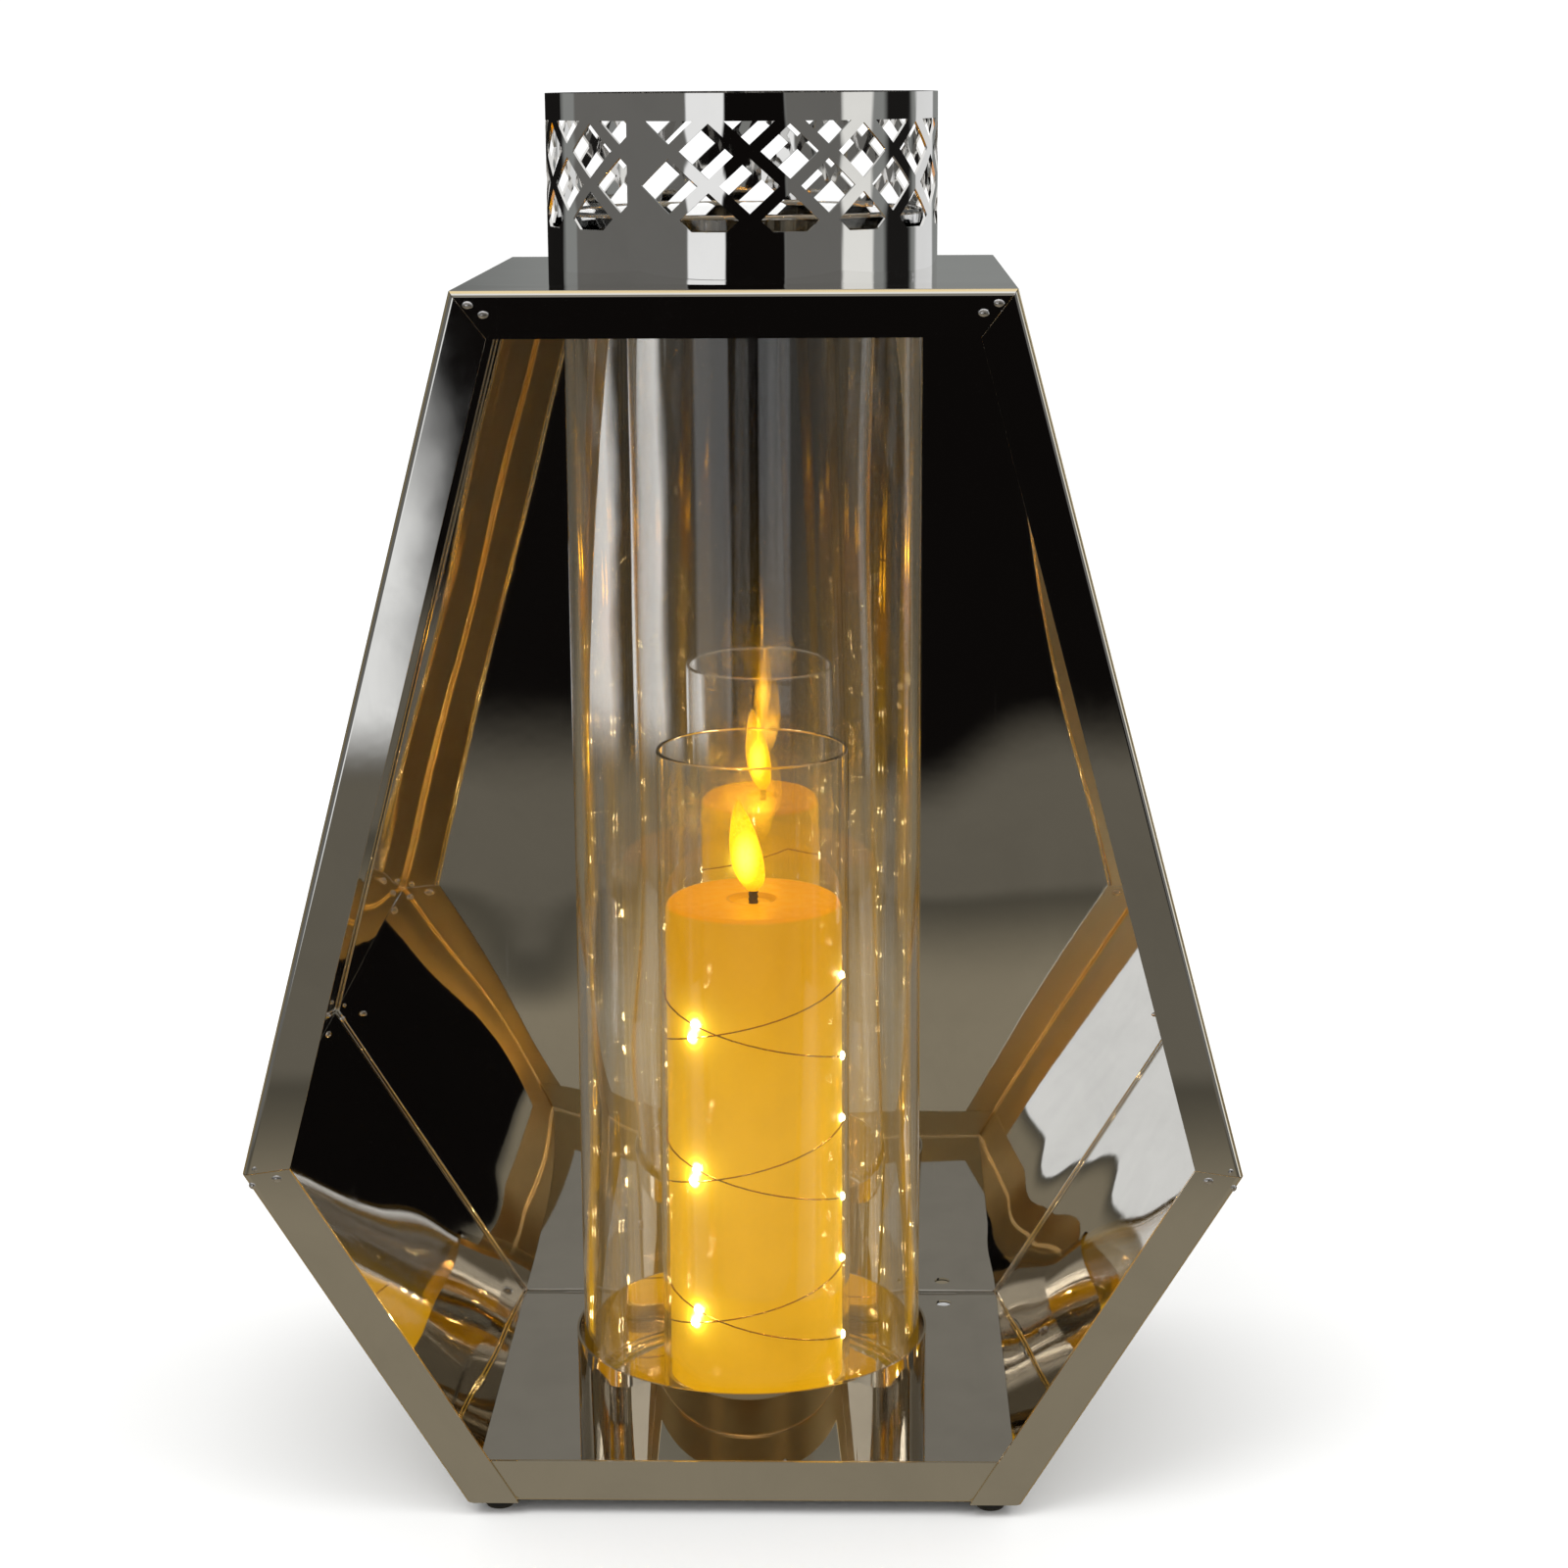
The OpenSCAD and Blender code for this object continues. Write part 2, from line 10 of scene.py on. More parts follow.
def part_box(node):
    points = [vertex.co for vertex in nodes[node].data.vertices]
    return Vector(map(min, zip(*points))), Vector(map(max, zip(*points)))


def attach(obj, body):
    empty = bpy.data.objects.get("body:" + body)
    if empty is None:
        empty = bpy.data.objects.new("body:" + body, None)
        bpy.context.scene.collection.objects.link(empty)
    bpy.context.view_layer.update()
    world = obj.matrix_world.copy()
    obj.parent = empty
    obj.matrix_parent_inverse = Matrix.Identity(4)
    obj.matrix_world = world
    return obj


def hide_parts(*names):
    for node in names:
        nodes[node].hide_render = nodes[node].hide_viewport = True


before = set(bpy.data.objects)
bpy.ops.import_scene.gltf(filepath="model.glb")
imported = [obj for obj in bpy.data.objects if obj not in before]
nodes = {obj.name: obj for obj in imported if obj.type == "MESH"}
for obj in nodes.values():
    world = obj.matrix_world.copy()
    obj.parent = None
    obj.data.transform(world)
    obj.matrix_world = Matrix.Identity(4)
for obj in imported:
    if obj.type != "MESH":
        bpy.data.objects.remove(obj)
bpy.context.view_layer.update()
scene = bpy.context.scene
MM = 0.001


# ---------------------------------------------------------------- camera

LENS_MM = 71.74
CAMERA_AT = Vector((28.27, -792.66, 352.55)) * MM
PITCH, YAW, ROLL = (math.radians(a) for a in (12.79, -1.36, -0.33))


def make_camera():
    """The camera looks along +Y, pitched down, and is turned and rolled a little."""
    data = bpy.data.cameras.new("camera")
    data.lens = LENS_MM
    data.sensor_width = 36
    data.clip_start = 0.02
    forward = Vector((math.sin(YAW) * math.cos(PITCH), math.cos(YAW) * math.cos(PITCH), -math.sin(PITCH)))
    level = Vector((math.cos(YAW), -math.sin(YAW), 0))
    upright = level.cross(forward)
    right = level * math.cos(ROLL) + upright * math.sin(ROLL)
    up = right.cross(forward)
    camera = bpy.data.objects.new("camera", data)
    turn = Matrix((right, up, -forward)).transposed().to_4x4()
    camera.matrix_world = Matrix.Translation(CAMERA_AT) @ turn
    scene.collection.objects.link(camera)
    scene.camera = camera


# ---------------------------------------------------------------- shader nodes

def add(tree, kind, inputs=None, **settings):
    """A new node. inputs maps a socket's name or number to a value or to the socket that feeds it."""
    n = tree.nodes.new(kind)
    for key, value in settings.items():
        setattr(n, key, value)
    for key, value in (inputs or {}).items():
        if isinstance(value, bpy.types.NodeSocket):
            tree.links.new(value, n.inputs[key])
        else:
            n.inputs[key].default_value = value
    return n


def calc(tree, operation, *values):
    """The result of a Math node."""
    return add(tree, "ShaderNodeMath", dict(enumerate(values)), operation=operation).outputs[0]


def span(tree, value, low, high, to_low=0.0, to_high=1.0, smooth=True):
    """value, taken from low..high to to_low..to_high and held at the ends."""
    kind = "SMOOTHSTEP" if smooth else "LINEAR"
    inputs = {0: value, 1: low, 2: high, 3: to_low, 4: to_high}
    return add(tree, "ShaderNodeMapRange", inputs, interpolation_type=kind).outputs[0]


def blend_colour(tree, factor, a, b):
    """Colours a and b, mixed by factor."""
    n = add(tree, "ShaderNodeMix", data_type="RGBA")
    for socket, value in ((n.inputs[0], factor), (n.inputs[6], a), (n.inputs[7], b)):
        if isinstance(value, bpy.types.NodeSocket):
            tree.links.new(value, socket)
        else:
            socket.default_value = value
    return n.outputs[2]


def texture(tree, coordinate, scale, detail=2.0, rough=0.5, distort=0.0, stretch=None):
    """The value of a Noise texture."""
    if stretch:
        coordinate = add(tree, "ShaderNodeMapping", {0: coordinate, 3: stretch}).outputs[0]
    inputs = {"Vector": coordinate, "Scale": scale, "Detail": detail, "Roughness": rough,
              "Distortion": distort}
    return add(tree, "ShaderNodeTexNoise", inputs).outputs[0]


def own_coordinate(tree):
    """A point's place in its own piece, in metres, which moves with the piece."""
    return add(tree, "ShaderNodeTexCoord").outputs["Object"]


def after_mirrors(tree, count):
    """1 for a ray that has met more than count mirrors, else 0."""
    met = add(tree, "ShaderNodeLightPath").outputs["Glossy Depth"]
    return calc(tree, "GREATER_THAN", met, count + 0.5)


def rgb(r, g, b):
    """A colour given as it looks on a screen, 0 to 255, as Blender's linear colour."""
    lin = [c / 255 / 12.92 if c <= 10.3 else ((c / 255 + 0.055) / 1.055) ** 2.4 for c in (r, g, b)]
    return (*lin, 1.0)


def material(name):
    """A new material's tree and its Principled node."""
    mat = bpy.data.materials.new(name)
    mat.use_nodes = True
    tree = mat.node_tree
    return mat, tree, next(n for n in tree.nodes if n.type == "BSDF_PRINCIPLED")


def feed(tree, shader, **inputs):
    """Sets or links the shader's sockets, with an underscore for each space in a name."""
    for key, value in inputs.items():
        socket = shader.inputs[key.replace("_", " ")]
        if isinstance(value, bpy.types.NodeSocket):
            tree.links.new(value, socket)
        else:
            socket.default_value = value


def bump(tree, height, distance, strength=1.0, normal=None):
    """A bent normal from a height that spans distance metres."""
    inputs = {"Height": height, "Distance": distance, "Strength": strength}
    if normal:
        inputs["Normal"] = normal
    return add(tree, "ShaderNodeBump", inputs).outputs[0]


# ---------------------------------------------------------------- materials

SATIN_STEP = 0.0003                   # how sharply the satin back of a lip ends, in metres
FRONT_EDGE, CALM_END = -0.068, -0.045  # depths between which the sheet's waves grow to full height
# golden tint of the satin lip backs: painted candlelight
PAINTED_CANDLELIGHT_LIP = (0.88, 0.70, 0.40, 1)
# near black of the base's underside: painted shade under the lantern
PAINTED_SHADE_UNDERSIDE = (0.05, 0.045, 0.04, 1)
CANDLE_LIGHT = (1.0, 0.56, 0.05, 1)
BEAD_GLOW = 0.0038                    # reach of a bead's halo on the wax, in metres
HALO_FALL, HALO_MOST = 2.2, 6.0       # how fast a halo fades, and its greatest strength
GHOST_GAIN = 4.0                      # how much brighter the flame is from its second reflection on


def polished_steel(name, tint=(0.80, 0.79, 0.77), wave=0.0009, smudge=0.05, lip_back=None,
                   underside=None):
    """Mirror-polished sheet: long shallow waves, orange peel, hairlines and finger smudges.

    At the depth lip_back the sheet is the back of a front lip, which is satin and carries a golden tint of
    painted candlelight.
    Below the height underside it is dull, and darkened to near black as painted shade."""
    mat, tree, shader = material(name)
    at = own_coordinate(tree)
    _, depth, height = add(tree, "ShaderNodeSeparateXYZ", {0: at}).outputs
    inner = span(tree, depth, FRONT_EDGE, CALM_END)
    waves = calc(tree, "MULTIPLY", texture(tree, at, 11, 1.0, 0.4), calc(tree, "ADD", inner, 0.12))
    peel = texture(tree, at, 90, 2.0)
    bent = bump(tree, waves, wave)
    bent = bump(tree, peel, 0.000004, normal=bent)
    smears = texture(tree, at, 35, 5.0, 0.62, 0.6)
    hairlines = texture(tree, at, 260, 3.0, 0.7, 0, (1, 1, 0.06))
    rough = span(tree, smears, 0.45, 0.85, 0.02, 0.02 + smudge)
    rough = calc(tree, "ADD", rough, span(tree, hairlines, 0.62, 0.8, 0.0, 0.05))
    dull = tuple(c * 0.93 for c in tint)
    colour = blend_colour(tree, span(tree, smears, 0.35, 0.8), (*tint, 1), (*dull, 1))
    # The satin lip back's golden tint is painted candlelight; its roughness is the satin finish.
    if lip_back is not None:
        satin_and_painted_glow = span(tree, calc(tree, "ABSOLUTE", calc(tree, "SUBTRACT", depth, lip_back)),
                     SATIN_STEP, SATIN_STEP * 2, 1, 0, False)
        rough = calc(tree, "MAXIMUM", rough, calc(tree, "MULTIPLY", satin_and_painted_glow, 0.3))
        colour = blend_colour(tree, satin_and_painted_glow, colour, PAINTED_CANDLELIGHT_LIP)
    # Below underside: a dull finish, and a near black colour that is painted shade.
    if underside is not None:
        dull_and_painted_shade = span(tree, height, underside, underside + SATIN_STEP / 2, 1, 0, False)
        rough = calc(tree, "MAXIMUM", rough, calc(tree, "MULTIPLY", dull_and_painted_shade, 0.5))
        colour = blend_colour(tree, dull_and_painted_shade, colour, PAINTED_SHADE_UNDERSIDE)
    feed(tree, shader, Base_Color=colour, Metallic=1.0, Roughness=rough, Normal=bent)
    return mat


def weld_metal():
    """Bright, blotchy metal of a ground-down weld."""
    mat, tree, shader = material("weld_metal")
    at = own_coordinate(tree)
    blotch = texture(tree, at, 900, 3.0)
    colour = blend_colour(tree, span(tree, blotch, 0.35, 0.65), rgb(190, 188, 190), rgb(240, 238, 240))
    feed(tree, shader, Base_Color=colour, Metallic=1.0, Roughness=span(tree, blotch, 0.3, 0.7, 0.08, 0.25),
         Normal=bump(tree, texture(tree, at, 1500, 2.0), 0.00008))
    return mat


def clear(name, ior, tint, speck=0.0, glow=0.0, glow_top=0.2):
    """Clear glass or acrylic with faint wipe marks.

    Below the height glow_top it glows faintly in streaks: painted candlelight, standing for dust that
    catches the candle's light."""
    mat, tree, shader = material(name)
    at = own_coordinate(tree)
    marks = texture(tree, at, 45, 4.0, 0.6, 0.5, (1, 1, 0.35))
    painted_glow_streaks = texture(tree, at, 70, 3.0, 0.6, 0, (1, 1, 0.03))
    height = add(tree, "ShaderNodeSeparateXYZ", {0: at}).outputs[2]
    # A painted glow of candlelight in streaks, fading out towards glow_top.
    painted_candle_haze = calc(tree, "MULTIPLY", span(tree, painted_glow_streaks, 0.40, 0.72, 0.35, 2.4),
                span(tree, height, 0.06, glow_top, 1, 0))
    feed(tree, shader, Base_Color=tint, Roughness=span(tree, marks, 0.55, 0.8, 0.0, speck), IOR=ior,
         Transmission_Weight=1.0, Emission_Color=CANDLE_LIGHT,
         Emission_Strength=calc(tree, "MULTIPLY", painted_candle_haze, glow),
         Normal=bump(tree, texture(tree, at, 9, 1.0, 0.5, 0, (1, 1, 0.3)), 0.0002))
    return mat


def rubber():
    """Black rubber with a fine matt grain."""
    mat, tree, shader = material("rubber")
    at = own_coordinate(tree)
    grain = texture(tree, at, 1400, 3.0)
    colour = blend_colour(tree, texture(tree, at, 150, 3.0), rgb(14, 14, 14), rgb(34, 33, 32))
    feed(tree, shader, Base_Color=colour, Roughness=span(tree, grain, 0.3, 0.7, 0.55, 0.75),
         Normal=bump(tree, grain, 0.0001))
    return mat


def moulded(name, colour, rough=0.45, grain=900):
    """Moulded plastic or board: a fine grain and slightly uneven colour."""
    mat, tree, shader = material(name)
    at = own_coordinate(tree)
    fine = texture(tree, at, grain, 2.0)
    tone = texture(tree, at, 60, 3.0)
    darker = tuple(c * 0.8 for c in colour[:3]) + (1,)
    feed(tree, shader, Base_Color=blend_colour(tree, span(tree, tone, 0.35, 0.7), colour, darker),
         Roughness=span(tree, fine, 0.3, 0.7, rough, rough + 0.12), Normal=bump(tree, fine, 0.00004))
    return mat


def plated(name, colour, rough=0.18):
    """Plated or enamelled metal wire and sheet."""
    mat, tree, shader = material(name)
    at = own_coordinate(tree)
    tone = texture(tree, at, 400, 3.0)
    darker = tuple(c * 0.6 for c in colour[:3]) + (1,)
    feed(tree, shader, Base_Color=blend_colour(tree, span(tree, tone, 0.4, 0.7), colour, darker),
         Metallic=1.0, Roughness=span(tree, tone, 0.3, 0.7, rough, rough + 0.15),
         Normal=bump(tree, tone, 0.00003))
    return mat


def distance_to(tree, at, point, stretch=(1, 1, 1)):
    """How far a point of the piece is from a fixed point, in metres."""
    off = add(tree, "ShaderNodeVectorMath", {0: at, 1: tuple(point)}, operation="SUBTRACT").outputs[0]
    if stretch != (1, 1, 1):
        off = add(tree, "ShaderNodeVectorMath", {0: off, 1: stretch}, operation="MULTIPLY").outputs[0]
    return add(tree, "ShaderNodeVectorMath", {0: off}, operation="LENGTH").outputs["Value"]


def wax(beads, top, flame_at):
    """Amber wax whose lit look is painted as glow: painted light, brighter round each light bead and under
    the flame.
    """
    mat, tree, shader = material("wax")
    at = own_coordinate(tree)
    height = add(tree, "ShaderNodeSeparateXYZ", {0: at}).outputs[2]
    mottle = texture(tree, at, 70, 4.0, 0.55)
    # The wax's lit colour is painted as glow (the Emission below); it is a little darker in its top 5 cm.
    low = blend_colour(tree, span(tree, mottle, 0.3, 0.7), rgb(214, 154, 2), rgb(221, 160, 10))
    high = blend_colour(tree, span(tree, mottle, 0.3, 0.7), rgb(208, 143, 0), rgb(214, 149, 4))
    body = blend_colour(tree, span(tree, height, top - 0.05, top - 0.01), low, high)
    # A painted brighter band of light along the rounded top edge.
    body = blend_colour(tree, span(tree, height, top - 0.0014, top - 0.0004), body, rgb(238, 147, 0))
    # A painted pool of the flame's light on the wax round the flame's foot.
    from_flame = distance_to(tree, at, flame_at)
    body = blend_colour(tree, span(tree, from_flame, 0.003, 0.022, 0.85, 0.0), body, rgb(252, 160, 0))
    # A darker ring at the dimple's melted rim.
    off_rim = calc(tree, "ABSOLUTE", calc(tree, "SUBTRACT", from_flame, 0.0066))
    rim = span(tree, off_rim, 0.0002, 0.0009, 0.45, 0.0)
    body = blend_colour(tree, rim, body, rgb(176, 96, 0))
    # A painted pool of light round each light bead on the wax, whitening near the bead.
    halo = None
    for p in beads:
        near = distance_to(tree, at, p)
        one = calc(tree, "DIVIDE", BEAD_GLOW, calc(tree, "ADD", near, 0.0006))
        one = calc(tree, "POWER", one, HALO_FALL)
        halo = one if halo is None else calc(tree, "ADD", halo, one)
    halo = calc(tree, "MINIMUM", halo, HALO_MOST)
    glow = blend_colour(tree, span(tree, halo, 0.0, 1.4, 0.0, 1.0, False), body, (1.0, 0.66, 0.03, 1))
    glow = blend_colour(tree, span(tree, halo, 2.2, 5.0), glow, (1.0, 0.9, 0.5, 1))
    strength = calc(tree, "ADD", 0.97, calc(tree, "MULTIPLY", halo, 0.45))
    fine = texture(tree, at, 300, 3.0)
    feed(tree, shader, Base_Color=rgb(90, 50, 5), Roughness=span(tree, fine, 0.3, 0.7, 0.38, 0.52),
         Subsurface_Weight=0.2, Emission_Color=glow, Emission_Strength=strength,
         Normal=bump(tree, mottle, 0.00025))
    shader.inputs["Subsurface Radius"].default_value = (0.004, 0.002, 0.0006)
    shader.inputs["Subsurface Scale"].default_value = 1.0
    return mat


def flame_skin(heart, foot, tip):
    """The lit flame: white-hot at its heart, and deep amber towards its rim, foot and tip."""
    mat, tree, shader = material("flame_skin")
    at = own_coordinate(tree)
    height = add(tree, "ShaderNodeSeparateXYZ", {0: at}).outputs[2]
    hot = span(tree, distance_to(tree, at, heart, (1, 0.35, 0.5)), 0.0006, 0.0044, 1.0, 0.0)
    edge = add(tree, "ShaderNodeLayerWeight", {"Blend": 0.35}).outputs["Facing"]
    cool = calc(tree, "MAXIMUM", span(tree, height, foot, foot + 0.0040, 1.0, 0.0),
                span(tree, height, tip - 0.006, tip - 0.0005))
    warm = blend_colour(tree, cool, (2.0, 0.88, 0.003, 1), (1.1, 0.48, 0.002, 1))
    warm = blend_colour(tree, span(tree, edge, 0.72, 0.97), warm, (0.72, 0.32, 0.001, 1))
    colour = blend_colour(tree, calc(tree, "POWER", hot, 1.4), warm, (9.0, 4.2, 0.22, 1))
    mottle = texture(tree, at, 700, 2.0)
    gain = calc(tree, "ADD", 1.0, calc(tree, "MULTIPLY", after_mirrors(tree, 1), GHOST_GAIN - 1))
    strength = calc(tree, "MULTIPLY", gain, span(tree, mottle, 0.2, 0.8, 0.97, 1.05))
    feed(tree, shader, Base_Color=(0.2, 0.1, 0.01, 1), Roughness=span(tree, mottle, 0.3, 0.7, 0.25, 0.4),
         Emission_Color=colour, Emission_Strength=strength, Normal=bump(tree, mottle, 0.00006))
    return mat


def lamp(name, colour, strength):
    """A glowing lens or drop, a little uneven."""
    mat, tree, shader = material(name)
    mottle = texture(tree, own_coordinate(tree), 1500, 2.0)
    feed(tree, shader, Base_Color=colour, Roughness=0.2, Emission_Color=colour,
         Emission_Strength=span(tree, mottle, 0.2, 0.8, strength * 0.9, strength * 1.1))
    return mat


def paint(obj, mat):
    """Gives an object one material in place of all it has."""
    obj.data.materials.clear()
    obj.data.materials.append(mat)


# ---------------------------------------------------------------- mesh helpers

def new_piece(name, verts, faces, mat, smooth=True, smooth_angle=None):
    """A mesh object from points and faces, closed and with its faces turned outward."""
    mesh = bpy.data.meshes.new(name)
    mesh.from_pydata([tuple(v) for v in verts], [], faces)
    bm = bmesh.new()
    bm.from_mesh(mesh)
    bmesh.ops.recalc_face_normals(bm, faces=bm.faces)
    bm.to_mesh(mesh)
    bm.free()
    obj = bpy.data.objects.new(name, mesh)
    scene.collection.objects.link(obj)
    mesh.materials.append(mat)
    mesh.shade_smooth()
    if smooth_angle is not None:
        mesh.set_sharp_from_angle(angle=math.radians(smooth_angle))
    return obj


def loft(rings):
    """Points and faces of a skin over closed rings of equal length; the ends stay open."""
    n = len(rings[0])
    verts = [p for ring in rings for p in ring]
    faces = [(i * n + k, i * n + (k + 1) % n, (i + 1) * n + (k + 1) % n, (i + 1) * n + k)
             for i in range(len(rings) - 1) for k in range(n)]
    return verts, faces


def closed_loft(rings):
    """The same as loft, with a fan of triangles over each end."""
    verts, faces = loft(rings)
    n = len(rings[0])
    for ring, start in ((rings[0], 0), (rings[-1], (len(rings) - 1) * n)):
        verts.append(sum((Vector(p) for p in ring), Vector()) / n)
        faces += [(start + k, start + (k + 1) % n, len(verts) - 1) for k in range(n)]
    return verts, faces


def turned(profile, centre, segments, wobble=None):
    """Rings of a turned shape whose profile of (radius, height) is a closed loop."""
    rings = []
    for r, z in [*profile, profile[0]]:
        ring = []
        for k in range(segments):
            a = math.tau * k / segments
            p = Vector((centre.x + r * math.cos(a), centre.y + r * math.sin(a), z))
            ring.append(p + wobble(p, r) if wobble else p)
        rings.append(ring)
    verts, faces = loft(rings)
    last = (len(rings) - 1) * segments
    faces = [tuple(v - last if v >= last else v for v in f) for f in faces]
    return verts[:last], faces


def arc(cx, cz, r, a0, a1, steps):
    """Points of (radius, height) along an arc, with its angles in degrees."""
    return [(cx + r * math.cos(math.radians(a0 + (a1 - a0) * i / steps)),
             cz + r * math.sin(math.radians(a0 + (a1 - a0) * i / steps))) for i in range(steps + 1)]


def clumps(node):
    """The centre of each separate solid in a CAD node."""
    bm = bmesh.new()
    bm.from_mesh(nodes[node].data)
    bmesh.ops.remove_doubles(bm, verts=bm.verts, dist=1e-6)
    seen, found = set(), []
    for v in bm.verts:
        if v.index in seen:
            continue
        group, todo = [], [v]
        seen.add(v.index)
        while todo:
            w = todo.pop()
            group.append(w.co.copy())
            for e in w.link_edges:
                o = e.other_vert(w)
                if o.index not in seen:
                    seen.add(o.index)
                    todo.append(o)
        low = Vector(min(c[i] for c in group) for i in range(3))
        high = Vector(max(c[i] for c in group) for i in range(3))
        found.append((low + high) / 2)
    bm.free()
    return found


def balls(centres, place, subdivisions=3):
    """Points and faces of a ball at each centre; place(index, centre, point) shapes it."""
    verts, faces = [], []
    for i, p in enumerate(centres):
        bm = bmesh.new()
        bmesh.ops.create_icosphere(bm, subdivisions=subdivisions, radius=1)
        start = len(verts)
        verts += [place(i, p, v.co) for v in bm.verts]
        faces += [tuple(v.index + start for v in f.verts) for f in bm.faces]
        bm.free()
    return verts, faces


# ---------------------------------------------------------------- the back: a slightly pillowed mirror

# Shallow swellings of the back sheet, each as centre x, centre z, half-width, half-height and
# how far it stands towards the front, in millimetres
SWELLINGS = [
    (-65, 80, 22, 27, 1.2),
    (66, 60, 30, 34, 0.5),
    (46, 235, 20, 75, -0.9),
]
RIPPLE, RIPPLES_PER_METRE = 0.12, 16   # height in millimetres, and scale, of the ripple over the sheet
EDGE_EASE = 0.012                     # how far in from its edges the sheet stays flat, in metres
ROWS, COLUMNS = 150, 110


def mirror_back(mat):
    """The back sheet as a fine grid, a little swollen, with flat edges that meet the case."""
    low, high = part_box("back_panel")
    outline = {}
    for v in nodes["back_panel"].data.vertices:
        level = round(v.co.z, 5)
        outline[level] = max(outline.get(level, 0), abs(v.co.x))
    levels = sorted(outline)
    waist = max(outline, key=outline.get)

    def half_width(z):
        for a, b in zip(levels, levels[1:]):
            if z <= b:
                return outline[a] + (outline[b] - outline[a]) * (z - a) / (b - a)
        return outline[levels[-1]]

    heights = sorted({low.z + (high.z - low.z) * i / ROWS for i in range(ROWS + 1)} | {waist})

    def proud(x, z):
        """How far the sheet stands towards the front at a point."""
        edge = min(z - low.z, high.z - z, (half_width(z) - abs(x)) * 0.9)
        t = min(max(edge / EDGE_EASE, 0), 1)
        ease = t * t * (3 - 2 * t)
        swell = 0
        for cx, cz, rx, rz, h in SWELLINGS:
            d = ((x / MM - cx) / rx) ** 2 + ((z / MM - cz) / rz) ** 2
            swell += h * math.exp(-d)
        ripple = RIPPLE * noise.noise(Vector((x * RIPPLES_PER_METRE, 3.1, z * RIPPLES_PER_METRE)))
        return (swell + ripple) * MM * ease

    verts, faces = [], []
    n = COLUMNS + 1
    for side in (0, 1):
        for z in heights:
            w = half_width(z)
            for c in range(n):
                x = -w + 2 * w * c / COLUMNS
                y = (low.y if side == 0 else high.y) - proud(x, z)
                verts.append((x, y, z))
    per = len(heights) * n
    for side in (0, 1):
        for r in range(len(heights) - 1):
            for c in range(COLUMNS):
                a = side * per + r * n + c
                faces.append((a, a + 1, a + n + 1, a + n))
    rim = ([c for c in range(n)] + [r * n + COLUMNS for r in range(1, len(heights))]
           + [per - 1 - c for c in range(1, n)] + [r * n for r in range(len(heights) - 2, 0, -1)])
    for a, b in zip(rim, rim[1:] + rim[:1]):
        faces.append((a, b, b + per, a + per))
    piece = new_piece("mirror_back", verts, faces, mat, smooth_angle=50)
    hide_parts("back_panel")
    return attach(piece, "lantern")


# ---------------------------------------------------------------- candle

def candle_centre():
    """The middle of the candle's foot."""
    low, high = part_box("candle_cup")
    return Vector(((low.x + high.x) / 2, (low.y + high.y) / 2, low.z))


def wax_column(mat):
    """The wax pillar: softly rounded top edge, a dimple with a melted rim and a hollow below."""
    low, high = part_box("wax_pillar")
    centre = candle_centre()
    r = (high.x - low.x) / 2
    top = high.z
    wall, roof, hole, dimple = 1.8 * MM, 4 * MM, 1.45 * MM, 6 * MM
    profile = [(r - wall, low.z), (r, low.z)]
    profile += [(r, low.z + (top - low.z - 2 * MM) * i / 60) for i in range(1, 60)]
    profile += arc(r - 2 * MM, top - 2 * MM, 2 * MM, 0, 90, 10)
    profile += [(r - (r - dimple) * i / 14 if i < 14 else dimple + 0.7 * MM, top) for i in range(2, 15)]
    profile += arc(dimple + 0.7 * MM, top - 0.7 * MM, 0.7 * MM, 100, 170, 5)
    profile += arc(dimple - 0.9 * MM, top - 0.6 * MM, 0.7 * MM, -10, -80, 5)
    profile += [(3 * MM, top - 1.25 * MM), (hole + 0.3 * MM, top - 1.15 * MM), (hole, top - 1.5 * MM)]
    profile += [(hole, top - roof + 0.6 * MM), (hole + 0.4 * MM, top - roof),
                (r - wall - 1 * MM, top - roof), (r - wall, top - roof - 1 * MM)]

    def wobble(p, radius):
        if radius < dimple * 0.5:
            return Vector()
        lump = noise.noise(p * 120) * 0.10 + noise.noise(p * 420) * 0.03
        out = Vector((p.x - centre.x, p.y - centre.y, 0)).normalized()
        lift = Vector((0, 0, 0.7)) if p.z > top - 1.9 * MM else Vector()
        return (out * -abs(lump) + lift * -abs(lump)) * MM

    verts, faces = turned(profile, centre, 180, wobble)
    piece = new_piece("wax_column", verts, faces, mat, smooth_angle=60)
    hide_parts("wax_pillar")
    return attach(piece, "candle")


DEEP_SHARE = 0.72    # the flame's depth as a share of its width


